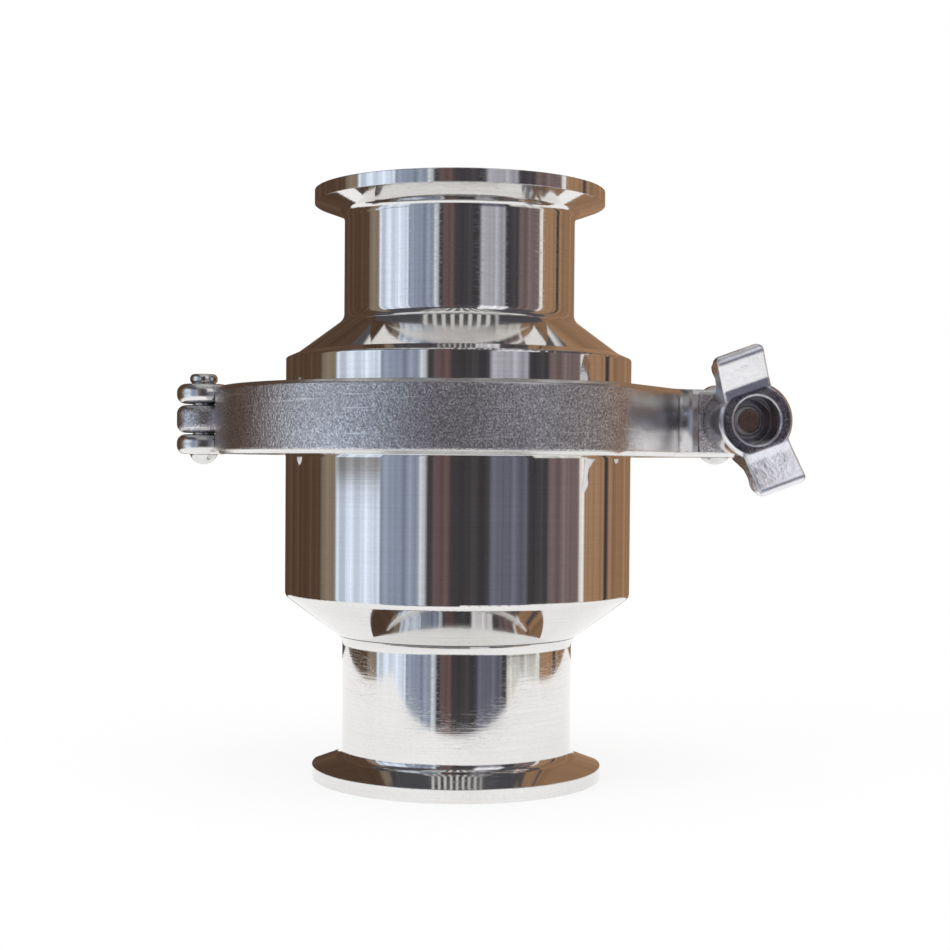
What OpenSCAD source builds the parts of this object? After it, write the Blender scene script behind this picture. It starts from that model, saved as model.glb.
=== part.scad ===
// Sanitary non-return valve for two inch tube, in two halves held by a clamp.
// It stands on its inlet face at z = 0, and the flow runs along +Z.
// The clamp's hinge is on the -X side, its swing bolt and wing nut on the +X side.

/* [Valve ends] */
// Outer diameter of the tube and of the two necks
tube_d = 50.8; // [49:0.1:53]
// Wall of the two necks
tube_wall = 1.65; // [1.2:0.05:2.4]
// Outer diameter of the end ferrules
rim_d = 64; // [62:0.5:68]
// Thickness of an end ferrule at its rim
rim_t = 2.85; // [2.4:0.05:3.6]
// Slope of every ferrule's back, in degrees
rim_slope = 20; // [16:1:24]
// Radius of the fillets behind the ferrules
rim_fillet = 2; // [0.8:0.1:2.6]
// Mean diameter of the gasket groove in an end face
groove_d = 56.3; // [55.5:0.1:57]
// Radius of all gasket grooves
groove_r = 1.6; // [1.2:0.1:1.8]

/* [Valve body] */
// Length from end face to end face
face_to_face = 129.1; // [126:0.5:140]
// Height of the middle of the clamped joint
joint_z = 78.4; // [76.5:0.1:79]
// Outer diameter of the wide part of the body
body_d = 76.2; // [75:0.1:77]
// Wall of the wide part of the body
body_wall = 2.6; // [2:0.1:3]
// Length from the inlet face to the corner where its cone begins
inlet_neck = 30.8; // [27:0.1:31]
// Length from the outlet face to the corner where its cone begins
outlet_neck = 28.2; // [25:0.1:30]
// Slope of the two cones, in degrees above the horizontal
cone_angle = 36.7; // [34:0.1:39]
// Radial width of the flatter shoulder round the outlet cone
shoulder_w = 2.7; // [1:0.1:5]
// Slope of that shoulder, in degrees above the horizontal
shoulder_angle = 24; // [12:1:32]
// Wall of the two cones
cone_wall = 2; // [1.7:0.1:2.3]
// Radius of the fillets between the necks and the cones
neck_fillet = 2.6; // [1:0.1:3.5]
// Radius of the edge between the inlet cone and the wide part
inlet_edge = 1.6; // [0.4:0.1:3]
// Radius of the edge between the outlet cone and the wide part
outlet_edge = 0.5; // [0.3:0.1:3]

/* [Clamped joint] */
// Outer diameter of the two middle ferrules
joint_d = 91; // [90:0.1:92]
// Thickness of a middle ferrule at its rim
joint_rim_t = 2.85; // [2.6:0.05:3]
// Thickness of the gasket between the two halves
gasket_t = 1.8; // [1.4:0.1:2.2]
// Inner diameter of the gasket
gasket_id = 71.6; // [71.2:0.1:73]
// Mean diameter of the gasket's beads and of their grooves
bead_d = 83.5; // [82.5:0.1:84]

/* [Guide disc] */
// Outer diameter of the guide disc, which lies in the inlet half
guide_d = 75; // [74.6:0.1:76]
// Radial width of the guide disc's ring
guide_ring = 4; // [3:0.1:6]
// Thickness of the guide disc's ring and arms
guide_t = 3; // [2:0.1:3.4]
// Number of arms
guide_arms = 4; // [3:1:5]
// Width of an arm
arm_w = 3.2; // [2.4:0.1:5]
// Outer diameter of the hub
hub_d = 18; // [16:0.5:20]
// Height of the hub
hub_h = 10; // [8:0.5:11]
// Diameter of the hub's flange, which the spring rests on
hub_flange_d = 25; // [24:0.5:27]
// Thickness of the hub's flange
hub_flange_t = 2.5; // [1.5:0.1:3]
// Outer diameter of the bush in the hub
bush_d = 12; // [11:0.1:13]
// Diameter of the bush's flange
bush_flange_d = 16; // [15:0.1:17]
// Thickness of the bush's flange
bush_flange_t = 1; // [0.6:0.1:1.4]

/* [Plug] */
// Diameter of the circle where the seal meets the seat
seat_d = 54; // [52:0.1:55]
// Diameter of the seal ring's round section
seal_section = 3.5; // [3:0.1:3.8]
// Width of the plug's lip outside the seal
plug_lip = 1.25; // [0.9:0.05:1.6]
// Height of the plug's rim above its lip's lower edge
plug_rim_h = 2.5; // [1.8:0.1:3.5]
// Height of the plug's spring seat above the seal's lower clamping face
plug_h = 6.3; // [5.5:0.1:8]
// Thickness of the retainer below the seal
retainer_t = 3.8; // [3.4:0.1:4]
// Lift of the plug from its seat to its stop
plug_lift = 9; // [6:0.5:9.5]

/* [Stem] */
// Diameter of the stem in its bush and in the plug
stem_d = 8; // [7:0.1:9]
// Diameter of the stem's shoulder, which stops the lift
shoulder_d = 12; // [11:0.1:13.5]
// Length of the stem above its bush
stem_end = 4; // [3.2:0.1:6]
// Depth of the clip's groove in the stem
clip_depth = 0.8; // [0.5:0.05:1.2]
// Thickness of the clip
clip_t = 1; // [0.8:0.1:1.4]
// Outer diameter of the clip
clip_d = 13; // [11.5:0.1:15]
// Diameter of the retainer's screw
screw_d = 5; // [4:0.1:5.5]
// Diameter of the screw's head
screw_head_d = 11; // [9.5:0.1:12]
// Length of the screw in the stem
screw_l = 12; // [8:0.5:16]
// Width across the flats of the screw's socket
socket_w = 3; // [2.5:0.1:3.5]

/* [Spring] */
// Diameter of the spring's wire
wire_d = 1.8; // [1.4:0.1:2]
// Mean diameter of the spring
spring_d = 20; // [19.5:0.1:20.5]
// Number of turns
spring_turns = 7; // [6:1:8]

/* [Clamp] */
// How far the clamp's band reaches beyond the joint's ferrules
band_reach = 7.9; // [7:0.1:9]
// Height of the clamp's band
clamp_h = 14.5; // [14:0.1:16]
// Gap between the body and the clamp's two lips
lip_gap = 2.5; // [2.3:0.1:3.4]
// Height of the polished bevels on the band's edges
bevel_h = 0.75; // [0.4:0.05:1.1]
// Radial depth of those bevels
bevel_r = 1.2; // [0.6:0.1:1.6]
// Gap between the band's two halves at the hinge
split_gap = 0.8; // [0.5:0.1:2]
// How far outside the band the hinge pin stands
hinge_reach = 3.1; // [2.4:0.1:3.6]
// Radius of the hinge's knuckles
knuckle_r = 5.9; // [5.4:0.1:6.2]
// Height of the middle knuckle
knuckle_h = 6.1; // [5:0.1:7]
// Height of the hinge from end to end
hinge_h = 15.5; // [14.8:0.1:16]
// How far the hinge's middle stands above the joint's
hinge_rise = 0.4; // [0:0.05:0.5]
// Radius of the knuckles' rounded edges
knuckle_edge = 1.9; // [0.5:0.1:2]
// Diameter of the two rivets
rivet_d = 4.8; // [4:0.1:5.2]
// Diameter of a rivet's domed heads
dome_d = 6.1; // [5.6:0.1:6.6]
// Radius of the rounded edge of the hinge rivet's upper head
head_edge = 1; // [0.6:0.05:1.05]
// Height of the hinge rivet's heads
dome_h = 2.2; // [1.4:0.1:2.4]

/* [Bolt, ear and nut] */
// How far outside the band the bolt's pivot stands
pivot_reach = 3.6; // [3.2:0.1:4.2]
// Angle of the bolt, turned outwards from the front
bolt_lean = 9.5; // [7:0.1:12]
// How far the bolt stands above the joint's middle
bolt_rise = 0.3; // [0:0.05:0.5]
// Diameter of the swing bolt
bolt_d = 6.3; // [5.6:0.1:6.5]
// Length of the bolt from its pivot to its end
bolt_l = 22.3; // [20:0.1:23.5]
// Size of the chamfer at the bolt's end
bolt_tip = 0.9; // [0.4:0.1:1.2]
// Radius of the bolt's eye
eye_r = 4.6; // [4.2:0.1:4.8]
// Radius of the two lugs that hold the bolt's rivet
lug_r = 5.2; // [4.8:0.1:5.4]
// How far the web behind the lugs reaches round the band, in degrees
web_angle = 17; // [14:0.5:20]
// Direction in which the web leaves the lugs, in degrees from +X
web_lean = 40; // [30:1:50]
// Height of the domed heads of the bolt's rivet
bolt_dome_h = 1.5; // [1.2:0.1:2.4]
// Distance from the pivot to the ear's front face
ear_face = 12.2; // [11.8:0.1:13]
// Thickness of the ear
ear_t = 6.4; // [5.5:0.1:6.4]
// Width of the ear outside the bolt
ear_out = 7.5; // [7:0.1:9]
// Distance from the bolt to the corner where the scoop meets the ear
scoop_in = 11.5; // [11:0.1:12]
// Direction of the scoop's flat, in degrees from +X
scoop_angle = 61.5; // [60:0.5:64]
// Radius where the scoop leaves the band
scoop_start_r = 20; // [8:1:26]
// Radius where the scoop meets the ear
scoop_end_r = 5.3; // [3:0.1:6]
// Size of the bevels along the scoop and the ear
ear_bevel = 1; // [0.4:0.1:1.4]
// Length of the wing nut's hub
nut_l = 15; // [13:0.1:16]
// Diameter of the hub on the ear
nut_base_d = 13.3; // [12.5:0.1:14]
// Diameter of the hub at its open end
nut_ring_d = 15.8; // [14.5:0.1:16]
// Radius of the rounded edge round the open end
ring_edge = 0.9; // [0.3:0.1:1.2]
// Diameter of the recess in the hub
recess_d = 10.1; // [9.5:0.1:11]
// Depth of the recess
recess_h = 5.6; // [4:0.1:7]
// Distance from the nut's axis to a wing's tip
wing_reach = 15.1; // [14.5:0.1:16]
// Radius of a wing's rounded tip
wing_tip = 1.4; // [0.9:0.1:1.6]
// Slope of a wing's front face
wing_slope = 20; // [10:1:26]
// Width of a wing
wing_w = 10.3; // [9:0.1:11]
// Radius of a wing's two corners
wing_corner = 1.3; // [0.5:0.1:2]
// Turn of the wings from upright, the upper one towards the valve
wing_turn = 19.8; // [10:0.1:30]

/* [Clearances] */
// Radial clearance of pins and shafts that turn or slide
run_gap = 0.06; // [0.03:0.01:0.1]
// Clearance of pieces that are fixed in one another
fixed_gap = 0.02; // [0.01:0.01:0.05]
// Clearance between the clamp's flanks and the ferrules
flank_gap = 0.05; // [0.03:0.01:0.1]
// Clearance between the seal and the seat
seal_gap = 0.12; // [0.05:0.01:0.2]
// Clearance between pieces that pass each other
side_gap = 0.35; // [0.2:0.05:0.5]
// Clearance of the bolt in the ear's slot
slot_gap = 0.45; // [0.3:0.05:0.7]

/* [Hidden] */
$fn = 96;
over = 0.3;
far = 60;

polished = [0.74, 0.75, 0.77];
satin = [0.52, 0.51, 0.53];
bright = [0.82, 0.83, 0.85];
rubber_white = [0.88, 0.88, 0.85];
ptfe = [0.93, 0.93, 0.9];
wire = [0.62, 0.63, 0.65];

tube_r = tube_d / 2;
bore_r = tube_r - tube_wall;
rim_r = rim_d / 2;
body_r = body_d / 2;
chamber_r = body_r - body_wall;
joint_r = joint_d / 2;

// Where the fillet of a neck ends on its cone is the weld seam.
seam_run = neck_fillet * tan((90 - cone_angle) / 2);
seam_rise = seam_run * sin(cone_angle);
cone_rise = (body_r - tube_r) * tan(cone_angle);
// How far the inner cone begins above the corner of the outer one.
cone_shift = cone_wall / cos(cone_angle) - tube_wall * tan(cone_angle);

inlet_face_z = joint_z - gasket_t / 2;
outlet_face = face_to_face - joint_z - gasket_t / 2;

// The seat is the inner cone of the inlet half.
seat_r = seat_d / 2;
seat_z = inlet_neck + cone_shift + (seat_r - bore_r) * tan(cone_angle);
seal_r = seal_section / 2;
seal_off = seal_r + seal_gap;
ring_r = seat_r - seal_off * sin(cone_angle);
ring_z = seat_z + seal_off * cos(cone_angle);
retainer_r = ring_r - seal_r - 2 * fixed_gap;
retainer_top = ring_z + retainer_t * 0.14;
retainer_z = retainer_top - retainer_t;
groove_top = ring_z + seal_r + 2 * fixed_gap;
groove_out = ring_r + seal_r + 6 * fixed_gap;
plug_r = groove_out + plug_lip;
lip_z = ring_z + 0.8;
spring_z = retainer_top + plug_h;

hub_z = inlet_face_z - guide_t - hub_h * 0.4;
bush_z = hub_z - bush_flange_t;
hub_top = hub_z + hub_h;
shoulder_top = bush_z - plug_lift - run_gap;
clip_z = hub_top + side_gap;
stem_top = hub_top + stem_end;
spring_r = spring_d / 2;
spring_top = hub_z - fixed_gap;

clamp_r = joint_r + band_reach;
lip_r = body_r + lip_gap;
hinge_x = clamp_r + hinge_reach;
pivot_x = clamp_r + pivot_reach;
// Height of a ferrule's back above the joint's middle at radius r.
function flank(r) = gasket_t / 2 + joint_rim_t + (joint_r - r) * tan(rim_slope);
floor_r = joint_r + 0.5;

nut_seat = ear_face + fixed_gap;
slot_r = bolt_d / 2 + slot_gap;
fork_gap = bolt_d / 2 + 0.2;
bolt_dir = bolt_lean - 90;
pivot = [pivot_x, 0];
along = [cos(bolt_dir), sin(bolt_dir)];
across = [-along[1], along[0]];

function unit(a) = [cos(a), sin(a)];

// The sliver between a corner at c, whose edges leave in directions a1 and a2,
// and a circle of radius r that touches both edges. It fills a hollow corner
// or is cut from a sharp one.
module blend(c, r, a1, a2) {
    half = abs(a2 - a1) / 2;
    middle = unit((a1 + a2) / 2);
    run = r / tan(half);
    difference() {
        polygon([c - over * middle, c + run * unit(a1), c + run * unit(a2)]);
        translate(c + r / sin(half) * middle) circle(r);
    }
}

// A cylinder between two heights.
module post(r, z1, z2) {
    translate([0, 0, z1]) cylinder(r = r, h = z2 - z1);
}

// Section of an end ferrule with its neck, from the face at y = 0 to the seam.
module ferrule_section(neck) {
    back = rim_t + (rim_r - tube_r) * tan(rim_slope);
    difference() {
        union() {
            polygon([
                [bore_r, 0], [rim_r, 0], [rim_r, rim_t], [tube_r, back], [tube_r, neck],
                [tube_r + seam_run * cos(cone_angle), neck + seam_rise],
                [bore_r, neck + seam_rise]
            ]);
            blend([tube_r, back], rim_fillet, -rim_slope, 90);
            intersection() {
                blend([tube_r, neck], neck_fillet, -90, cone_angle);
                square([body_r, neck + seam_rise]);
            }
        }
        translate([groove_d / 2, 0]) circle(groove_r);
    }
}

// Section of one half of the body, from its seam to its face of the joint,
// with a pocket of the given depth for the guide disc and a flatter shoulder of
// the given width round the cone.
module shell_section(neck, face, edge, pocket, shoulder) {
    slope = shoulder > 0 ? shoulder_angle : cone_angle;
    wide = neck + cone_rise - shoulder * (tan(cone_angle) - tan(slope));
    knee = shoulder > 0
        ? [[body_r - shoulder, neck + cone_rise - shoulder * tan(cone_angle)]]
        : [];
    back = face - joint_rim_t - (joint_r - body_r) * tan(rim_slope);
    inner = neck + cone_shift;
    pocket_r = pocket > 0 ? guide_d / 2 + fixed_gap : chamber_r;
    difference() {
        union() {
            polygon(concat(
                [
                    [bore_r, neck + seam_rise],
                    [tube_r + seam_run * cos(cone_angle), neck + seam_rise]
                ],
                knee,
                [
                    [body_r, wide], [body_r, back],
                    [joint_r, face - joint_rim_t], [joint_r, face],
                    [pocket_r, face], [pocket_r, face - pocket],
                    [chamber_r, face - pocket],
                    [chamber_r, inner + (chamber_r - bore_r) * tan(cone_angle)],
                    [bore_r, inner]
                ]
            ));
            blend([body_r, back], rim_fillet, -90, rim_slope);
        }
        blend([body_r, wide], edge, 180 + slope, 90);
        translate([bead_d / 2, face]) circle(groove_r);
    }
}

module inlet_ferrule() {
    color(polished) rotate_extrude() ferrule_section(inlet_neck);
}

module inlet_body() {
    color(polished) rotate_extrude()
        shell_section(inlet_neck, inlet_face_z, inlet_edge, guide_t + fixed_gap, 0);
}

module outlet_body() {
    color(polished) translate([0, 0, face_to_face]) mirror([0, 0, 1])
        rotate_extrude() shell_section(outlet_neck, outlet_face, outlet_edge, 0, shoulder_w);
}

module outlet_ferrule() {
    color(polished) translate([0, 0, face_to_face]) mirror([0, 0, 1])
        rotate_extrude() ferrule_section(outlet_neck);
}

// The gasket is flush with the middle ferrules' rims and has a bead each side.
module body_gasket() {
    bead_r = groove_r - 3 * fixed_gap;
    color(rubber_white) translate([0, 0, joint_z]) rotate_extrude() {
        translate([gasket_id / 2, -gasket_t / 2])
            square([joint_r - gasket_id / 2 - fixed_gap, gasket_t]);
        for (side = [-1, 1])
            translate([bead_d / 2, side * gasket_t / 2]) circle(bead_r);
    }
}

module guide_disc() {
    outer = guide_d / 2;
    arm_in = bush_d / 2 + 1;
    color(bright) difference() {
        union() {
            difference() {
                post(outer, inlet_face_z - guide_t, inlet_face_z);
                post(outer - guide_ring, inlet_face_z - guide_t - 1, inlet_face_z + 1);
            }
            for (i = [0 : guide_arms - 1])
                rotate(45 + i * 360 / guide_arms)
                    translate([arm_in, -arm_w / 2, inlet_face_z - guide_t])
                        cube([outer - guide_ring / 2 - arm_in, arm_w, guide_t]);
            post(hub_d / 2, hub_z, hub_top);
            post(hub_flange_d / 2, hub_z, hub_z + hub_flange_t);
        }
        post(bush_d / 2 + fixed_gap, hub_z - 1, hub_top + 1);
    }
}

module guide_bush() {
    color(ptfe) difference() {
        union() {
            post(bush_d / 2, bush_z, hub_top);
            post(bush_flange_d / 2, bush_z, hub_z - fixed_gap);
        }
        post(stem_d / 2 + run_gap, bush_z - 1, hub_top + 1);
    }
}

// The plug's head, with the seal's groove below and a seat for the spring above.
module valve_plug() {
    collar_in = spring_r + wire_d / 2 + side_gap;
    collar_out = collar_in + 1.4;
    collar_top = spring_z + 1.5;
    rim_top = lip_z + plug_rim_h;
    crown = [collar_out + 2, spring_z - 0.4];
    slope = atan2(crown[1] - rim_top, crown[0] - plug_r);
    color(polished) difference() {
        rotate_extrude() difference() {
            polygon([
                [0, retainer_top], [retainer_r, retainer_top], [retainer_r, groove_top],
                [groove_out, groove_top], [groove_out, lip_z], [plug_r, lip_z],
                [plug_r, rim_top], crown, [collar_out, collar_top],
                [collar_in, collar_top], [collar_in, spring_z], [0, spring_z]
            ]);
            blend([plug_r, rim_top], 1.2, slope, 270);
        }
        post(stem_d / 2 + fixed_gap, retainer_top - 1, spring_z + 1);
    }
}

module plug_seal() {
    color(rubber_white) translate([0, 0, ring_z])
        rotate_extrude() translate([ring_r, 0]) circle(seal_r);
}

// The retainer's foot reaches under the seal and keeps it in its groove.
module seal_retainer() {
    foot_r = ring_r - seal_r * 0.5;
    color(bright) difference() {
        rotate_extrude() polygon([
            [0, retainer_z], [foot_r - 1.6, retainer_z], [foot_r, ring_z - 2.2],
            [foot_r, ring_z - 1.75], [retainer_r, ring_z - 0.95],
            [retainer_r, retainer_top - fixed_gap], [0, retainer_top - fixed_gap]
        ]);
        screw_shape(fixed_gap);
    }
}

// The countersunk screw's outline, made larger by grow for its hole.
module screw_shape(grow) {
    head_h = (screw_head_d - screw_d) / 2;
    translate([0, 0, retainer_z]) {
        cylinder(r1 = screw_head_d / 2 + grow, r2 = screw_d / 2 + grow, h = head_h);
        cylinder(r = screw_d / 2 + grow, h = retainer_t + screw_l);
    }
}

module retainer_screw() {
    color(bright) difference() {
        screw_shape(0);
        translate([0, 0, retainer_z - 1])
            cylinder(d = socket_w / cos(30), h = 1 + screw_head_d * 0.17, $fn = 6);
    }
}

module plug_stem() {
    tip = 0.7;
    color(polished) difference() {
        union() {
            post(stem_d / 2, retainer_top, stem_top - tip);
            post(shoulder_d / 2, spring_z + fixed_gap, shoulder_top);
            translate([0, 0, stem_top - tip])
                cylinder(r1 = stem_d / 2, r2 = stem_d / 2 - tip, h = tip);
        }
        post(screw_d / 2 + fixed_gap, retainer_top - 1, retainer_top + screw_l + 1);
        difference() {
            post(stem_d, clip_z - fixed_gap, clip_z + clip_t + fixed_gap);
            post(stem_d / 2 - clip_depth, clip_z - 1, clip_z + clip_t + 1);
        }
    }
}

// An open ring that snaps into the groove at the top of the stem.
module stem_clip() {
    color(wire) difference() {
        post(clip_d / 2, clip_z, clip_z + clip_t);
        post(stem_d / 2 - clip_depth + fixed_gap, clip_z - 1, clip_z + clip_t + 1);
        translate([0, -stem_d * 0.36, clip_z - 1]) cube([clip_d, stem_d * 0.72, clip_t + 2]);
    }
}

// Height of the wire's centre after t turns: the end turns lie closed.
function coil_z(t, n, low, high, pitch) =
    t < 1 ? low + pitch * t
    : t > n - 1 ? high - pitch * (n - t)
    : low + pitch + (high - low - 2 * pitch) * (t - 1) / (n - 2);

module spring() {
    sides = 8;
    steps = 24;
    rings = spring_turns * steps;
    low = spring_z + wire_d / 2 + fixed_gap;
    high = spring_top - wire_d / 2;
    points = [
        for (i = [0 : rings], k = [0 : sides - 1])
            let (
                turn = i / steps,
                a = 360 * turn,
                b = 360 * k / sides,
                r = spring_r + wire_d / 2 * cos(b),
                z = coil_z(turn, spring_turns, low, high, wire_d * 1.06)
            )
            [r * cos(a), r * sin(a), z + wire_d / 2 * sin(b)]
    ];
    quads = [
        for (i = [0 : rings - 1], k = [0 : sides - 1])
            let (n = (k + 1) % sides)
            [i * sides + k, i * sides + n, (i + 1) * sides + n, (i + 1) * sides + k]
    ];
    low_cap = [for (k = [sides - 1 : -1 : 0]) k];
    high_cap = [for (k = [0 : sides - 1]) rings * sides + k];
    color(wire) polyhedron(points, concat([low_cap, high_cap], quads), convexity = 10);
}

// Section of the clamp's band, with the groove that pulls the ferrules together.
module band_section() {
    top = clamp_h / 2;
    lip = 0.5;
    half = [
        [floor_r, flank(floor_r) + flank_gap],
        [lip_r, flank(lip_r) + flank_gap],
        [lip_r, top - lip],
        [lip_r + lip, top],
        [clamp_r - bevel_r, top],
        [clamp_r, top - bevel_h]
    ];
    lower = [for (i = [len(half) - 1 : -1 : 0]) [half[i][0], -half[i][1]]];
    polygon(concat(half, lower));
}

// A flat disc with rounded edges, from height z1 to z2.
module knuckle(r, z1, z2, edge) {
    rotate_extrude() {
        translate([0, z1]) square([r - edge, z2 - z1]);
        translate([0, z1 + edge]) square([r, z2 - z1 - 2 * edge]);
        for (z = [z1 + edge, z2 - edge])
            translate([r - edge, z]) circle(edge);
    }
}

module at_hinge() {
    translate([-hinge_x, 0, joint_z + hinge_rise]) children();
}

// Frame of the bolt: x' runs along the bolt from its pivot, y' outwards.
module at_bolt() {
    translate([pivot_x, 0, joint_z + bolt_rise]) rotate(bolt_dir) children();
}

// Plan of the scoop in the front half's band: a flat between the band's round
// outside and the ear's face, with a round start and a round end.
module scoop_plan() {
    corner = pivot + ear_face * along - scoop_in * across;
    outward = [sin(scoop_angle), -cos(scoop_angle)];
    reach = corner * outward;
    start_r = clamp_r - scoop_start_r;
    start_a = scoop_angle - 90 - acos((reach - scoop_start_r) / start_r);
    centre = start_r * unit(start_a);
    start = clamp_r * unit(start_a);
    touch = centre + scoop_start_r * outward;
    ear_end = corner + far * across;
    difference() {
        polygon([start, touch, corner, ear_end, ear_end + far * along, start + far * along]);
        blend(corner, scoop_end_r, scoop_angle + 180, 360 + bolt_lean);
        translate(centre) circle(scoop_start_r);
    }
}

// Bevels along the scoop's and the ear's upper and lower edges, and round the
// fillet between the two.
module ear_bevels() {
    corner = pivot + ear_face * along - scoop_in * across;
    half = (180 - scoop_angle + bolt_lean) / 2;
    run = scoop_end_r / tan(half) - 5 * fixed_gap;
    centre = scoop_end_r / sin(half) * unit(scoop_angle + 180 + half);
    cone_r = scoop_end_r - 3 * fixed_gap;
    wedge = [[ear_bevel + over, over], [-over, -ear_bevel - over], [-over, over]];
    for (top = [0, 1])
        translate([corner[0], corner[1], joint_z]) mirror([0, 0, top])
            translate([0, 0, clamp_h / 2]) {
                rotate(scoop_angle + 180) translate([run, 0, 0]) mirror([0, 1, 0])
                    rotate([90, 0, 90]) linear_extrude(far) polygon(wedge);
                rotate(bolt_lean) translate([run, 0, 0])
                    rotate([90, 0, 90]) linear_extrude(far) polygon(wedge);
                translate([centre[0], centre[1], -ear_bevel])
                    cylinder(r1 = cone_r, r2 = cone_r + ear_bevel + over, h = ear_bevel + over);
            }
}

// Plan of the front half. Its ear is flat where the nut stands. Outside the
// bolt the ear's nose is round about the bolt's pivot, so that the bolt swings
// out with the nut on it.
module front_plan() {
    back = ear_face - ear_t;
    inner = scoop_in - 1.5;
    difference() {
        union() {
            circle(clamp_r);
            translate(pivot) rotate(bolt_dir) intersection() {
                translate([back - 1, -inner]) square([ear_t + 1, inner + ear_out]);
                union() {
                    translate([-far, -far]) square([2 * far, far]);
                    circle(ear_face - side_gap / 4);
                }
            }
        }
        scoop_plan();
        translate([-2 * far, -split_gap / 2]) square([4 * far, 2 * far]);
        translate(pivot) rotate(bolt_dir)
            translate([-far, -far / 2]) square([far + back, far]);
    }
}

// Everything inside the band: the opening between its lips, and its groove.
module groove_section() {
    top = clamp_h / 2;
    lip = 0.5;
    half = [
        [0, top + over],
        [lip_r + lip + over, top + over],
        [lip_r, top - lip],
        [lip_r, flank(lip_r) + flank_gap],
        [floor_r, flank(floor_r) + flank_gap]
    ];
    lower = [for (i = [len(half) - 1 : -1 : 0]) [half[i][0], -half[i][1]]];
    polygon(concat(half, lower));
}

// What is cut from the band's outer edges. It ends where the scoop begins.
module edge_cuts() {
    top = clamp_h / 2;
    difference() {
        translate([0, 0, joint_z]) rotate_extrude() for (side = [-1, 1]) polygon([
            [clamp_r - 2 * bevel_r, side * (top + bevel_h)],
            [clamp_r + bevel_r, side * (top - 2 * bevel_h)],
            [clamp_r + bevel_r, side * (top + bevel_h)]
        ]);
        at_bolt() translate([-far, -scoop_in - 6, -far]) cube(2 * far);
    }
}

module clamp_front_half() {
    high = 2 * clamp_h;
    color(satin) difference() {
        union() {
            difference() {
                translate([0, 0, joint_z - clamp_h / 2]) linear_extrude(clamp_h) front_plan();
                translate([0, 0, joint_z]) rotate_extrude() groove_section();
                edge_cuts();
                ear_bevels();
                at_hinge() {
                    post(knuckle_r + side_gap, knuckle_h / 2, high);
                    post(knuckle_r + side_gap, -high, -knuckle_h / 2);
                }
            }
            at_hinge() knuckle(knuckle_r, -knuckle_h / 2, knuckle_h / 2, knuckle_edge);
        }
        at_bolt() {
            translate([0, 0, -slot_r]) cube([far, far, 2 * slot_r]);
            rotate([0, 90, 0]) cylinder(r = slot_r, h = far);
        }
        at_hinge() post(rivet_d / 2 + run_gap, -high, high);
    }
}

module clamp_rear_half() {
    high = 2 * clamp_h;
    inner = knuckle_h / 2 + side_gap;
    depth = clamp_r - band_reach / 2;
    web = [
        [pivot_x, 0], pivot + lug_r * unit(web_lean), clamp_r * unit(web_angle),
        depth * unit(web_angle - 1), [depth, split_gap / 2], [pivot_x - 2, split_gap / 2]
    ];
    color(bright) difference() {
        union() {
            difference() {
                translate([0, 0, joint_z]) rotate_extrude() band_section();
                translate([-2 * far, split_gap / 2 - 4 * far, joint_z - high / 2])
                    cube([4 * far, 4 * far, high]);
                at_hinge() post(knuckle_r + side_gap, -inner, inner);
            }
            at_hinge() {
                knuckle(knuckle_r, inner, hinge_h / 2, knuckle_edge);
                knuckle(knuckle_r, -hinge_h / 2, -inner, knuckle_edge);
            }
            translate([pivot_x, 0, joint_z]) post(lug_r, -clamp_h / 2, clamp_h / 2);
            translate([0, 0, joint_z - clamp_h / 2]) linear_extrude(clamp_h) polygon(web);
        }
        translate([pivot_x, 0, joint_z + bolt_rise]) {
            post(eye_r + side_gap, -fork_gap, fork_gap);
            translate([-bolt_d / 2 - side_gap, -far / 2, -fork_gap])
                cube([far, far, 2 * fork_gap]);
            post(rivet_d / 2 + fixed_gap, -high, high);
        }
        at_hinge() post(rivet_d / 2 + fixed_gap, -high, high);
    }
}

// The domed head of a rivet, from z = 0 up.
module dome(h) {
    r = dome_d / 2;
    ball = (r * r + h * h) / (2 * h);
    rotate_extrude() intersection() {
        square([r, h]);
        translate([0, h - ball]) circle(ball);
    }
}

// The hinge's rivet has a dome below and a flat button with a round edge above.
module hinge_rivet() {
    end = hinge_h / 2 + fixed_gap;
    color(bright) at_hinge() {
        post(rivet_d / 2, -end, end);
        mirror([0, 0, 1]) translate([0, 0, end]) dome(dome_h);
        knuckle(dome_d / 2, end, end + dome_h, head_edge);
    }
}

module bolt_rivet() {
    end = clamp_h / 2 + fixed_gap;
    color(bright) translate([pivot_x, 0, joint_z]) {
        post(rivet_d / 2, -end, end);
        for (side = [0, 1]) mirror([0, 0, side]) translate([0, 0, end]) dome(bolt_dome_h);
    }
}

module swing_bolt() {
    color(bright) at_bolt() difference() {
        union() {
            post(eye_r, -bolt_d / 2 + fixed_gap, bolt_d / 2 - fixed_gap);
            rotate([0, 90, 0]) {
                cylinder(d = bolt_d, h = bolt_l - bolt_tip);
                translate([0, 0, bolt_l - bolt_tip])
                    cylinder(r1 = bolt_d / 2, r2 = bolt_d / 2 - bolt_tip, h = bolt_tip);
            }
        }
        post(rivet_d / 2 + run_gap, -bolt_d, bolt_d);
    }
}

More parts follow.
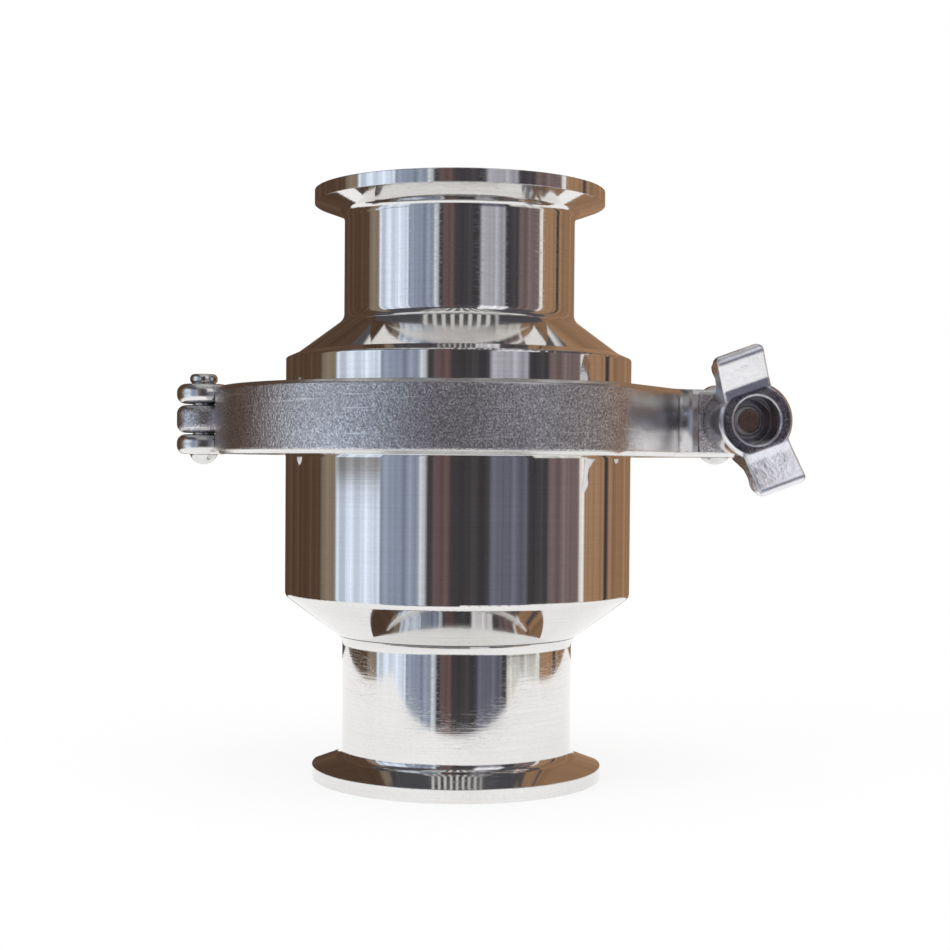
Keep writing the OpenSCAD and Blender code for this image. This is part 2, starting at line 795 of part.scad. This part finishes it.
// Section of a wing: x runs from the nut's axis to the tip, y along the axis
// from the plane of the hub's open end.
module wing_section() {
    tip_x = wing_reach - wing_tip;
    root = recess_d / 2 + 0.5;
    bend = [root + 2.2, 0.45];
    touch_x = tip_x - wing_tip * sin(wing_slope);
    touch_z = bend[1] + (touch_x - bend[0]) * tan(wing_slope);
    tip_z = touch_z - wing_tip * cos(wing_slope);
    polygon([
        [root, -5], [root, 0], [root + 0.6, 0.08], bend, [touch_x, touch_z],
        [tip_x, tip_z], [wing_reach, tip_z], [wing_reach - 1.2, -0.6],
        [wing_reach - 1.7, -1.9], [wing_reach - 2.7, -2.4], [wing_reach - 4.3, -1.9],
        [wing_reach - 6.1, -2.9], [root + 1, -8]
    ]);
    translate([tip_x, tip_z]) circle(wing_tip);
}

// Outline of a wing seen along the nut's axis, with its two round corners.
module wing_plan() {
    difference() {
        translate([0, -wing_w / 2]) square([wing_reach + over, wing_w]);
        blend([wing_reach, wing_w / 2], wing_corner, 180, 270);
        blend([wing_reach, -wing_w / 2], wing_corner, 90, 180);
        translate([wing_reach, wing_w / 2 - wing_corner]) square(far);
        translate([wing_reach, wing_corner - wing_w / 2 - far]) square(far);
    }
}

module wing_nut() {
    lip = 0.5;
    color(bright) at_bolt() translate([nut_seat, 0, 0]) rotate([0, 90, 0]) difference() {
        union() {
            rotate_extrude() difference() {
                polygon([
                    [0, 0], [nut_base_d / 2 - 2 * lip, 0], [nut_base_d / 2, lip],
                    [nut_ring_d / 2, nut_l - ring_edge], [nut_ring_d / 2, nut_l], [0, nut_l]
                ]);
                blend([nut_ring_d / 2, nut_l], ring_edge, 180, 270);
            }
            for (a = [0, 180]) rotate(wing_turn + a) intersection() {
                translate([0, 0, nut_l]) rotate([90, 0, 0])
                    linear_extrude(2 * wing_w, center = true) wing_section();
                linear_extrude(2 * nut_l) wing_plan();
            }
        }
        post(bolt_d / 2 + run_gap, -1, nut_l + 1);
        post(recess_d / 2, nut_l - recess_h, nut_l + far);
    }
}

inlet_ferrule();
inlet_body();
outlet_body();
outlet_ferrule();
body_gasket();
guide_disc();
guide_bush();
valve_plug();
plug_seal();
seal_retainer();
retainer_screw();
plug_stem();
stem_clip();
spring();
clamp_front_half();
clamp_rear_half();
hinge_rivet();
bolt_rivet();
swing_bolt();
wing_nut();
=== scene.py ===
import math

import bpy
from mathutils import Matrix, Vector


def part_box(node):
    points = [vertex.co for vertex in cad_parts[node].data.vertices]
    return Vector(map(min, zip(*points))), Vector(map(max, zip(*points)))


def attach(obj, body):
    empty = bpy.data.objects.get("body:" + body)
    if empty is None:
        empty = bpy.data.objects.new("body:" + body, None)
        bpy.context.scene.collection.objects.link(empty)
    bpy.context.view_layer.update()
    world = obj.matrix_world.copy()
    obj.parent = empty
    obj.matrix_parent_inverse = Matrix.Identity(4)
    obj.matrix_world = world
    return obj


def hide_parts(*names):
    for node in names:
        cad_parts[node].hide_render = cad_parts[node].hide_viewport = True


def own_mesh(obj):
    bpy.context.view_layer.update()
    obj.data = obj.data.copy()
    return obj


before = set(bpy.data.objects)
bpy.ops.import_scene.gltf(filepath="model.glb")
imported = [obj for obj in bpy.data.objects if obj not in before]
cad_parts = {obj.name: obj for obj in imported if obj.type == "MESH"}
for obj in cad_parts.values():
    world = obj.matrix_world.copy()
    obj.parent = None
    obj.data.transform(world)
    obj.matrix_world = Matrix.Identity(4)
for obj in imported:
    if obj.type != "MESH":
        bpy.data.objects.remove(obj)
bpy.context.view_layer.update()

# Sizes that the looks share with the CAD, in metres.
MM = 0.001
JOINT_Z = 78.4 * MM
PIVOT = Vector((57.0, 0.0, 78.7)) * MM
BOLT_TURN = math.radians(9.5 - 90.0)
SEAM_Z = 31.58 * MM

# Soft edges of the looks, in metres: a look starts at the first value and is full
# at the second. The seam is dark up to the first value and has gone at the second.
SEAM_HALF = (0.00006, 0.00018)
CLAMP_BEVEL = (0.0061, 0.0067)
SCOOP_RIM = (0.0533, 0.0530)
SCOOP_START = (0.0345, 0.041)
SCOOP_FLOOR = (0.0462, 0.0470)
REAR_KNUCKLES = (-0.0505, -0.0515)
RING_RIM = (0.0073, 0.0070)
RING_BORE = (0.0054, 0.0056)
NUT_BORE = (0.0054, 0.0052)
BOLT_END = (0.0219, 0.0222)
BOLT_CORE = (0.0026, 0.0024)
BOLT_TIP = (0.0205, 0.0208)

# Stretches along the bolt from its pivot, in metres, with the softness of their ends.
RING_FACE = (0.0268, 0.0273, 0.00004)
# NUT_RECESS, with NUT_BORE, bounds the painted shade in the wing nut's recess.
NUT_RECESS = (0.014, 0.0225, 0.001)


class Paint:
    """A node tree and the nodes that are added to it."""

    def __init__(self, name, tree=None):
        self.mat = None
        if tree is None:
            self.mat = bpy.data.materials.new(name)
            self.mat.use_nodes = True
            tree = self.mat.node_tree
        self.tree = tree
        tree.nodes.clear()

    def node(self, kind, inputs=None, **settings):
        n = self.tree.nodes.new(kind)
        for key, value in settings.items():
            setattr(n, key, value)
        for key, value in (inputs or {}).items():
            if isinstance(value, bpy.types.NodeSocket):
                self.tree.links.new(value, n.inputs[key])
            else:
                n.inputs[key].default_value = value
        return n

    def math(self, operation, a, b=0.0):
        return self.node("ShaderNodeMath", {0: a, 1: b}, operation=operation).outputs[0]

    def length(self, a, b):
        squares = self.math("MULTIPLY", a, a), self.math("MULTIPLY", b, b)
        return self.math("SQRT", self.math("ADD", *squares))

    def split(self, vector):
        return tuple(self.node("ShaderNodeSeparateXYZ", {0: vector}).outputs)

    def mix(self, factor, a, b):
        n = self.node("ShaderNodeMix", {0: factor, 6: colour(a), 7: colour(b)}, data_type="RGBA")
        return n.outputs[2]

    def place(self, scale=(1, 1, 1), location=(0, 0, 0), rotation=(0, 0, 0), kind="POINT"):
        co = self.node("ShaderNodeTexCoord").outputs["Object"]
        n = self.node(
            "ShaderNodeMapping",
            {"Vector": co, "Scale": scale, "Location": location, "Rotation": rotation},
            vector_type=kind,
        )
        return n.outputs[0]

    def noise(self, vector, scale=1.0, detail=2.0, roughness=0.5, distortion=0.0):
        n = self.node(
            "ShaderNodeTexNoise",
            {"Vector": vector, "Scale": scale, "Detail": detail, "Roughness": roughness,
             "Distortion": distortion},
        )
        return n.outputs[0]

    def span(self, value, low, high, out_low=0.0, out_high=1.0):
        n = self.node("ShaderNodeMapRange", {0: value, 1: low, 2: high, 3: out_low, 4: out_high})
        return n.outputs[0]


def colour(value):
    """A grey number, an RGB triple or a socket, as a node input takes it."""
    if isinstance(value, bpy.types.NodeSocket):
        return value
    if isinstance(value, (int, float)):
        return (value, value, value, 1.0)
    return (*value, 1.0)


def between(p, value, low, high, soft):
    """1 between two values and 0 outside them, with soft ends."""
    return p.math("MULTIPLY", p.span(value, low - soft, low + soft),
                  p.span(value, high + soft, high - soft))


def metal(p, base, roughness, normal=None, anisotropic=0.0, turn=0.0, tangent=None):
    inputs = {"Base Color": colour(base), "Metallic": 1.0, "Roughness": roughness,
              "Anisotropic": anisotropic, "Anisotropic Rotation": turn}
    if normal is not None:
        inputs["Normal"] = normal
    if tangent is not None:
        inputs["Tangent"] = tangent
    shader = p.node("ShaderNodeBsdfPrincipled", inputs)
    p.node("ShaderNodeOutputMaterial", {"Surface": shader.outputs[0]})
    return p.mat


def bump(p, height, strength, distance, radius=None):
    inputs = {"Height": height, "Strength": strength, "Distance": distance}
    if radius:
        inputs["Normal"] = p.node("ShaderNodeBevel", {"Radius": radius}, samples=4).outputs[0]
    return p.node("ShaderNodeBump", inputs).outputs[0]


def turned_steel(name, seam=False, rough=0.1, lines=0.55, swirls=0.0):
    """Mirror-polished steel with fine lines round the valve's axis."""
    p = Paint(name)
    fine = p.noise(p.place(scale=(45, 45, 2600)), detail=3.0)
    broad = p.noise(p.place(scale=(30, 30, 700)), detail=2.0)
    cloud = p.noise(p.place(scale=(60, 60, 60)), detail=4.0)
    height = p.math("ADD", fine, p.math("MULTIPLY", broad, 0.8))
    slanted = p.place(scale=(90, 90, 900), rotation=(0.05, 0.03, 0))
    scratch = p.noise(slanted, detail=1.0, distortion=2.2)
    scratch = p.span(p.math("ABSOLUTE", p.math("SUBTRACT", scratch, 0.5)), 0.0, 0.012, 1.0, 0.0)
    height = p.math("ADD", height, p.math("MULTIPLY", scratch, swirls))
    normal = bump(p, height, lines, 0.000004, radius=0.0003)
    mottle = p.noise(p.place(scale=(1500, 1500, 1900)), detail=2.0, roughness=0.7)
    base = p.mix(p.span(fine, 0.3, 0.7), (0.81, 0.80, 0.79), (0.87, 0.86, 0.85))
    base = p.mix(p.span(mottle, 0.35, 0.7, 0.0, 0.22), base, (0.64, 0.63, 0.62))
    base = p.mix(p.span(cloud, 0.35, 0.75, 0.0, 0.22), base, (0.62, 0.6, 0.58))
    if seam:
        z = p.split(p.place())[2]
        off = p.math("ABSOLUTE", p.math("SUBTRACT", z, SEAM_Z))
        base = p.mix(p.span(off, *SEAM_HALF, 0.85, 0.0), base, (0.06, 0.05, 0.05))
    roughness = p.span(cloud, 0.3, 0.8, rough, rough + 0.03)
    tangent = p.node("ShaderNodeTangent", direction_type="RADIAL", axis="Z").outputs[0]
    return metal(p, base, roughness, normal, 0.8, 0.25, tangent)


def satin_clamp(name, knuckles_bright):
    """Blasted steel with bright grains. The edges' bevels are polished."""
    p = Paint(name)
    x, y, z = p.split(p.place())
    radius = p.length(x, y)
    off = p.math("ABSOLUTE", p.math("SUBTRACT", z, JOINT_Z))
    grain = p.noise(p.place(scale=(2600, 2600, 2600)), detail=2.0, roughness=0.7)
    coarse = p.noise(p.place(scale=(700, 700, 700)), detail=3.0)
    cloud = p.noise(p.place(scale=(90, 90, 90)), detail=3.0)
    streak = p.noise(p.place(scale=(40, 40, 160)), detail=4.0, distortion=1.5)
    bevel = p.span(off, *CLAMP_BEVEL)
    ragged = p.math("ADD", x, p.math("MULTIPLY", coarse, 0.006))
    scoop = p.math("MULTIPLY", p.span(radius, *SCOOP_RIM), p.span(ragged, *SCOOP_START))
    scoop = p.math("MULTIPLY", scoop, p.span(radius, *SCOOP_FLOOR))
    smooth = p.math("MAXIMUM", bevel, scoop)
    if knuckles_bright:
        smooth = p.math("MAXIMUM", smooth, p.span(x, *REAR_KNUCKLES))
    sparkle = p.span(grain, 0.51, 0.62)
    base = p.mix(sparkle, (0.58, 0.565, 0.575), (1.0, 0.98, 1.0))
    base = p.mix(p.span(grain, 0.44, 0.36, 0.0, 0.6), base, (0.16, 0.145, 0.15))
    base = p.mix(p.span(cloud, 0.4, 0.75, 0.0, 0.45), base, (0.30, 0.265, 0.27))
    scratch = p.noise(p.place(scale=(75, 75, 2400)), detail=0.0)
    base = p.mix(p.span(scratch, 0.74, 0.80, 0.0, 0.8), base, (0.95, 0.95, 0.96))
    bright = p.mix(p.span(streak, 0.35, 0.75), (0.74, 0.73, 0.72), (0.88, 0.87, 0.87))
    base = p.mix(smooth, base, bright)
    height = p.math("ADD", grain, p.math("MULTIPLY", coarse, 1.2))
    height = p.math("MULTIPLY", height, p.span(smooth, 0.0, 1.0, 1.0, 0.08))
    height = p.math("ADD", height, p.math("MULTIPLY", streak, 0.5))
    normal = bump(p, height, 0.9, 0.00012, radius=0.00045)
    roughness = p.span(smooth, 0.0, 1.0, 0.3, 0.2)
    return metal(p, base, roughness, normal)


def polished_steel(name, rough=0.1):
    """Small polished pieces, with slight tumbling marks."""
    p = Paint(name)
    wave = p.noise(p.place(scale=(420, 420, 420)), detail=3.0)
    fine = p.noise(p.place(scale=(2600, 2600, 2600)), detail=2.0)
    height = p.math("ADD", wave, p.math("MULTIPLY", fine, 0.15))
    normal = bump(p, height, 0.5, 0.00006, radius=0.0003)
    base = p.mix(p.span(wave, 0.3, 0.8), (0.82, 0.82, 0.8), (0.68, 0.67, 0.66))
    return metal(p, base, p.span(fine, 0.2, 0.8, rough, rough + 0.12), normal)


def bolt_frame(p):
    """Distance from the pivot along the bolt, and radius from the bolt's axis."""
    vector = p.place(location=PIVOT, rotation=(0, 0, BOLT_TURN), kind="TEXTURE")
    along, side, up = p.split(vector)
    return along, p.length(side, up)


def cast_nut(name):
    """A polished casting: waves on its flats, a dark grained ring face, and painted shade in the
    recess round the bolt.
    """
    p = Paint(name)
    along, radius = bolt_frame(p)
    wave = p.noise(p.place(scale=(330, 330, 330)), detail=3.0, distortion=0.6)
    fine = p.noise(p.place(scale=(2200, 2200, 2200)), detail=3.0, roughness=0.65)
    ring = p.math("MULTIPLY", between(p, along, *RING_FACE), p.span(radius, *RING_RIM))
    ring = p.math("MULTIPLY", ring, p.span(radius, *RING_BORE))
    # Painted shade: the wall of the recess round the bolt is painted dark, where shade falls in
    # the hollow.
    recess_shade = p.math("MULTIPLY", p.span(radius, *NUT_BORE), between(p, along, *NUT_RECESS))
    base = p.mix(p.span(wave, 0.3, 0.8), (0.88, 0.88, 0.91), (0.82, 0.81, 0.84))
    grained = p.mix(p.span(fine, 0.4, 0.7), (0.13, 0.12, 0.12), (0.42, 0.4, 0.4))
    base = p.mix(ring, base, grained)
    base = p.mix(recess_shade, base, (0.2, 0.19, 0.2))
    height = p.math("ADD", wave, p.math("MULTIPLY", fine, 0.2))
    normal = bump(p, height, 0.3, 0.00014, radius=0.0007)
    return metal(p, base, p.span(fine, 0.2, 0.8, 0.07, 0.2), normal)


def bolt_steel(name):
    """The swing bolt: turned, with a pale tip round a dull brown core."""
    p = Paint(name)
    along, radius = bolt_frame(p)
    fine = p.noise(p.place(scale=(1800, 1800, 1800)), detail=3.0)
    end = p.math("MULTIPLY", p.span(along, *BOLT_END), p.span(radius, *BOLT_CORE))
    base = p.mix(p.span(fine, 0.3, 0.7), (0.7, 0.69, 0.68), (0.55, 0.53, 0.52))
    dull = p.mix(p.span(fine, 0.3, 0.7), (0.16, 0.10, 0.08), (0.26, 0.18, 0.14))
    base = p.mix(end, base, dull)
    tip = p.math("MULTIPLY", p.span(along, *BOLT_TIP), p.span(end, 0.5, 0.0))
    base = p.mix(tip, base, (0.92, 0.91, 0.9))
    normal = bump(p, fine, 0.4, 0.00005, radius=0.0003)
    return metal(p, base, p.span(tip, 0.0, 1.0, 0.22, 0.5), normal)


def soft_white(name, base, rough):
    """Rubber or fluoropolymer, with a faint mottle."""
    p = Paint(name)
    fine = p.noise(p.place(scale=(1500, 1500, 1500)), detail=3.0)
    cloud = p.noise(p.place(scale=(120, 120, 120)), detail=2.0)
    tint = p.mix(p.span(cloud, 0.3, 0.8, 0.0, 0.5), base, tuple(c * 0.86 for c in base))
    normal = bump(p, fine, 0.3, 0.00004)
    shader = p.node(
        "ShaderNodeBsdfPrincipled",
        {"Base Color": tint, "Roughness": rough, "Normal": normal},
    )
    p.node("ShaderNodeOutputMaterial", {"Surface": shader.outputs[0]})
    return p.mat


BODY = turned_steel("body_steel", seam=True, rough=0.035, lines=0.2, swirls=0.2)
FERRULE = turned_steel("ferrule_steel", seam=True, rough=0.04, lines=0.5, swirls=0.6)
INNER = turned_steel("inner_steel", rough=0.16, lines=0.8)
WHITE = soft_white("white_rubber", (0.84, 0.84, 0.81), 0.5)
FINISH = {
    "inlet_ferrule": FERRULE,
    "inlet_body": BODY,
    "outlet_body": BODY,
    "outlet_ferrule": FERRULE,
    "guide_disc": INNER,
    "valve_plug": INNER,
    "seal_retainer": INNER,
    "plug_stem": INNER,
    "retainer_screw": polished_steel("screw_steel", 0.2),
    "stem_clip": polished_steel("clip_steel", 0.2),
    "spring": polished_steel("spring_steel", 0.25),
    "body_gasket": WHITE,
    "plug_seal": WHITE,
    "guide_bush": soft_white("white_bush", (0.9, 0.9, 0.88), 0.35),
    "clamp_front_half": satin_clamp("satin_steel", False),
    "clamp_rear_half": satin_clamp("satin_rear_steel", True),
    "hinge_rivet": polished_steel("rivet_steel", 0.08),
    "bolt_rivet": polished_steel("bolt_rivet_steel", 0.1),
    "swing_bolt": bolt_steel("bolt_steel"),
    "wing_nut": cast_nut("cast_steel"),
}
for node, finish in FINISH.items():
    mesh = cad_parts[node].data
    mesh.materials.clear()
    mesh.materials.append(finish)


def add_mesh(name, verts, faces):
    mesh = bpy.data.meshes.new(name)
    mesh.from_pydata(verts, [], faces)
    piece = bpy.data.objects.new(name, mesh)
    bpy.context.collection.objects.link(piece)
    return piece


def coil(name, radius, wire, low, high, turns, finish):
    """A compression spring whose end turns lie closed."""
    sides, steps = 12, 48
    rings = int(turns * steps)
    closed = wire * 1.06
    verts = []
    for i in range(rings + 1):
        t = i / steps
        if t < 1:
            z = low + closed * t
        elif t > turns - 1:
            z = high - closed * (turns - t)
        else:
            z = low + closed + (high - low - 2 * closed) * (t - 1) / (turns - 2)
        for k in range(sides):
            b = 2 * math.pi * k / sides
            r = radius + wire / 2 * math.cos(b)
            a = 2 * math.pi * t
            verts.append((r * math.cos(a), r * math.sin(a), z + wire / 2 * math.sin(b)))
    faces = []
    for i in range(rings):
        for k in range(sides):
            n = (k + 1) % sides
            faces.append((i * sides + k, (i + 1) * sides + k, (i + 1) * sides + n, i * sides + n))
    faces.append(tuple(range(sides)))
    faces.append(tuple(rings * sides + k for k in range(sides - 1, -1, -1)))
    piece = add_mesh(name, verts, faces)
    piece.data.materials.append(finish)
    for polygon in piece.data.polygons:
        polygon.use_smooth = True
    return piece


spring_lo, spring_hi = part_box("spring")
SPRING_LOW, SPRING_HIGH = spring_lo[2], spring_hi[2]
COIL_RADIUS, WIRE, TURNS = 10 * MM, 1.8 * MM, 7
spring = coil(
    "spring_coil", COIL_RADIUS, WIRE, SPRING_LOW + WIRE / 2, SPRING_HIGH - WIRE / 2, TURNS,
    FINISH["spring"],
)
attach(spring, "valve")
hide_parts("spring")
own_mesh(spring)


def stage_sheet(name, ring):
    """A flat sheet of the stage, from the points of its rim."""
    piece = add_mesh(name, ring, [tuple(range(len(ring)))])
    return piece


def stage_disc(name, radius, z, sides=96):
    turns = [2 * math.pi * i / sides for i in range(sides)]
    return stage_sheet(name, [(radius * math.cos(a), radius * math.sin(a), z) for a in turns])


def background_rays(p):
    """1 for the rays that show the background: camera, glossy and transmission rays."""
    path = p.node("ShaderNodeLightPath")
    seen = p.math("MAXIMUM", path.outputs["Is Camera Ray"], path.outputs["Is Glossy Ray"])
    return p.math("MAXIMUM", seen, path.outputs["Is Transmission Ray"])


def shine(p, tint, strength=1.0):
    glow = p.node("ShaderNodeEmission", {"Color": tint, "Strength": strength})
    p.node("ShaderNodeOutputMaterial", {"Surface": glow.outputs[0]})
    return p.mat


def only_reflected(piece):
    piece.visible_camera = False
    piece.visible_diffuse = False
    piece.visible_shadow = False


# The floor is a pale table top, whose front edge lies a hand's width before the
# valve. It glows white where it is seen, and near the valve it is part diffuse, so
# that it keeps a soft shadow there.
TABLE_SIDE = 0.2
TABLE_FRONT = -0.105
TABLE_BACK = 0.22
TABLE_Z = -0.0002
SHADOW_FULL, SHADOW_GONE, GLOW_IN_SHADOW = 0.05, 0.22, 0.87
table = stage_sheet("table", [
    (-TABLE_SIDE, TABLE_FRONT, TABLE_Z), (TABLE_SIDE, TABLE_FRONT, TABLE_Z),
    (TABLE_SIDE, TABLE_BACK, TABLE_Z), (-TABLE_SIDE, TABLE_BACK, TABLE_Z),
])
p = Paint("table_white")
x, y, z = p.split(p.node("ShaderNodeNewGeometry").outputs["Position"])
fade = p.span(p.length(x, y), SHADOW_FULL, SHADOW_GONE, GLOW_IN_SHADOW, 1.0)
glowing = p.math("MULTIPLY", background_rays(p), fade)
plain = p.node("ShaderNodeBsdfDiffuse", {"Color": colour(0.9)})
glow = p.node("ShaderNodeEmission", {"Color": colour(1.0), "Strength": 1.0})
both = p.node("ShaderNodeMixShader", {0: glowing, 1: plain.outputs[0], 2: glow.outputs[0]})
p.node("ShaderNodeOutputMaterial", {"Surface": both.outputs[0]})
table.data.materials.append(p.mat)


# The studio that the metal mirrors is a round wall: a dark curtain, a little paler
# above, with 15 plain cards. Each card has its angles from the camera's side in
# degrees, + to +X, its heights in metres, and its colour.
CURTAIN = (0.06, 0.055, 0.06)
CURTAIN_ABOVE = tuple(1.6 * c for c in CURTAIN)
PALER_FROM, PALER_TO = 0.2, 1.2
ROOM_R, ROOM_LOW, ROOM_HIGH = 1.6, -0.7, 1.7
CEILING_R, CEILING_Z = 1.7, 1.6
SIDE_SOFT, END_SOFT = math.radians(1.1), 0.01
CARDS = [
    # Dark brown screen at the left, with its lighter side towards the window
    (-180, -100, -0.7, 1.7, (0.10, 0.06, 0.04)),
    (-100, -85, -0.7, 1.7, (0.25, 0.20, 0.15)),
    # Large soft window light and the cross bar in it
    (-85, -50, -0.7, 1.0, (0.75, 0.85, 1.00)),
    (-85, -50, 0.05, 0.15, (0.30, 0.30, 0.30)),
    # Grey card beside the window
    (-50, -25, -0.7, 1.0, (0.30, 0.35, 0.45)),
    # Slim lamp left of the camera
    (-25, -20, -0.5, 1.0, (0.60, 0.65, 0.70)),
    # Brown card at the camera
    (-15, -5, -0.7, 1.0, (0.15, 0.10, 0.10)),
    # Grey card right of the camera, paler above
    (20, 45, -0.7, 0.15, (0.15, 0.15, 0.20)),
    (20, 45, 0.15, 0.6, (0.45, 0.45, 0.50)),
    (20, 50, 0.6, 1.6, (0.95, 0.95, 1.00)),
    # Brown card and the slim lamp beside it
    (60, 85, -0.7, 1.0, (0.20, 0.15, 0.15)),
    (85, 90, -0.5, 1.0, (0.85, 0.80, 0.75)),
    # Pale low card at the right
    (50, 90, -0.7, -0.15, (0.70, 0.70, 0.65)),
    # Wooden screen with a dark post
    (90, 110, -0.7, 1.7, (0.40, 0.24, 0.14)),
    (115, 180, -0.7, 1.7, (0.32, 0.19, 0.11)),
]


def wall(name, radius, low, high, sides=96):
    verts, faces = [], []
    for i in range(sides):
        a = 2 * math.pi * i / sides
        for z in (low, high):
            verts.append((radius * math.cos(a), radius * math.sin(a), z))
    for i in range(sides):
        n = (i + 1) % sides
        faces.append((2 * i, 2 * i + 1, 2 * n + 1, 2 * n))
    piece = add_mesh(name, verts, faces)
    return piece


studio = wall("studio_cards", ROOM_R, ROOM_LOW, ROOM_HIGH)
p = Paint("card_colours")
x, y, z = p.split(p.place())
angle = p.math("ARCTAN2", x, p.math("MULTIPLY", y, -1.0))
tint = p.mix(p.span(z, PALER_FROM, PALER_TO), CURTAIN, CURTAIN_ABOVE)
for start, stop, low, high, shade in CARDS:
    inside = between(p, angle, math.radians(start), math.radians(stop), SIDE_SOFT)
    inside = p.math("MULTIPLY", inside, between(p, z, low, high, END_SOFT))
    tint = p.mix(inside, tint, shade)
# Folds of the curtain and unevenness of the cards, the same at every height
around = p.node("ShaderNodeCombineXYZ", {0: angle}).outputs[0]
folds = p.noise(around, scale=9.0, detail=4.0, roughness=0.58)
folds = p.span(folds, 0.25, 0.75, 0.4, 1.6)
studio.data.materials.append(shine(p, tint, folds))
only_reflected(studio)

# A dark ceiling with a soft box over the valve and two rows of light bars.
CEILING, BAR_LIGHT, BOX_LIGHT = (0.09, 0.09, 0.10), (0.8, 0.8, 0.78), (0.95, 0.96, 0.97)
BAR_WAVE, BAR_SHARE = 36.0, (-0.2, 0.7)
BAR_ENDS, BAR_FRONT = (0.78, 0.72), (0.2, 0.3)
BOX_X, BOX_Y = (-0.55, 0.55, 0.06), (-0.12, 0.2, 0.05)
ceiling = stage_disc("ceiling", CEILING_R, CEILING_Z)
p = Paint("ceiling_bars")
x, y, z = p.split(p.place())
bars = p.span(p.math("SINE", p.math("MULTIPLY", x, BAR_WAVE)), *BAR_SHARE)
inside = p.span(p.math("ABSOLUTE", x), *BAR_ENDS)
inside = p.math("MULTIPLY", inside, p.span(p.math("ABSOLUTE", y), *BAR_FRONT))
tint = p.mix(p.math("MULTIPLY", bars, inside), CEILING, BAR_LIGHT)
box = p.math("MULTIPLY", between(p, x, *BOX_X), between(p, y, *BOX_Y))
tint = p.mix(box, tint, BOX_LIGHT)
ceiling.data.materials.append(shine(p, tint))
only_reflected(ceiling)

# The world is white where it is seen and soft grey where it lights.
WORLD_LIGHT = 0.55
world = bpy.data.worlds.new("studio")
bpy.context.scene.world = world
world.use_nodes = True
p = Paint("studio", world.node_tree)
strength = p.span(background_rays(p), 0.0, 1.0, WORLD_LIGHT, 1.0)
back = p.node("ShaderNodeBackground", {"Color": colour(1.0), "Strength": strength})
p.node("ShaderNodeOutputWorld", {"Surface": back.outputs[0]})


def lamp(name, place, target, size, power, tint):
    data = bpy.data.lights.new(name, "AREA")
    data.shape = "RECTANGLE"
    data.size, data.size_y = size
    data.energy = power
    data.color = tint
    piece = bpy.data.objects.new(name, data)
    piece.location = place
    piece.rotation_euler = (Vector(target) - Vector(place)).to_track_quat("-Z", "Y").to_euler()
    piece.visible_glossy = False
    bpy.context.collection.objects.link(piece)


MIDDLE = (0, 0, 0.07)
lamp("window", (-1.1, -0.75, 0.5), MIDDLE, (0.7, 0.9), 9.0, (0.86, 0.93, 1.0))
lamp("top", (0.1, -0.3, 1.3), MIDDLE, (0.8, 0.8), 8.0, (1.0, 0.99, 0.96))
lamp("fill", (1.1, -0.9, 0.35), MIDDLE, (0.5, 0.8), 3.0, (1.0, 0.9, 0.78))

# The view's distance, height and lean come from the rims' ellipses in the photo.
DISTANCE = 0.366
EYE_Z = 0.0690
FOCAL_PX = 1647.0
FRAME_PX = 950.0
SENSOR_MM = 36.0
AXIS_U = 458.0
HORIZON_V = 465.3
LEAN = 0.0076
TILT = 0.026
camera = bpy.data.objects.new("camera", bpy.data.cameras.new("camera"))
bpy.context.collection.objects.link(camera)
camera.data.sensor_width = SENSOR_MM
camera.data.lens = FOCAL_PX / FRAME_PX * SENSOR_MM
camera.data.shift_x = (FRAME_PX / 2 - AXIS_U) / FRAME_PX
camera.data.shift_y = (HORIZON_V + FOCAL_PX * math.tan(TILT) - FRAME_PX / 2) / FRAME_PX
camera.matrix_world = (
    Matrix.Translation((0, -DISTANCE, EYE_Z))
    @ Matrix.Rotation(-LEAN, 4, "Y")
    @ Matrix.Rotation(math.pi / 2 - TILT, 4, "X")
)
camera.data.clip_start = 0.01
bpy.context.scene.camera = camera
bpy.context.scene.view_settings.view_transform = "Standard"
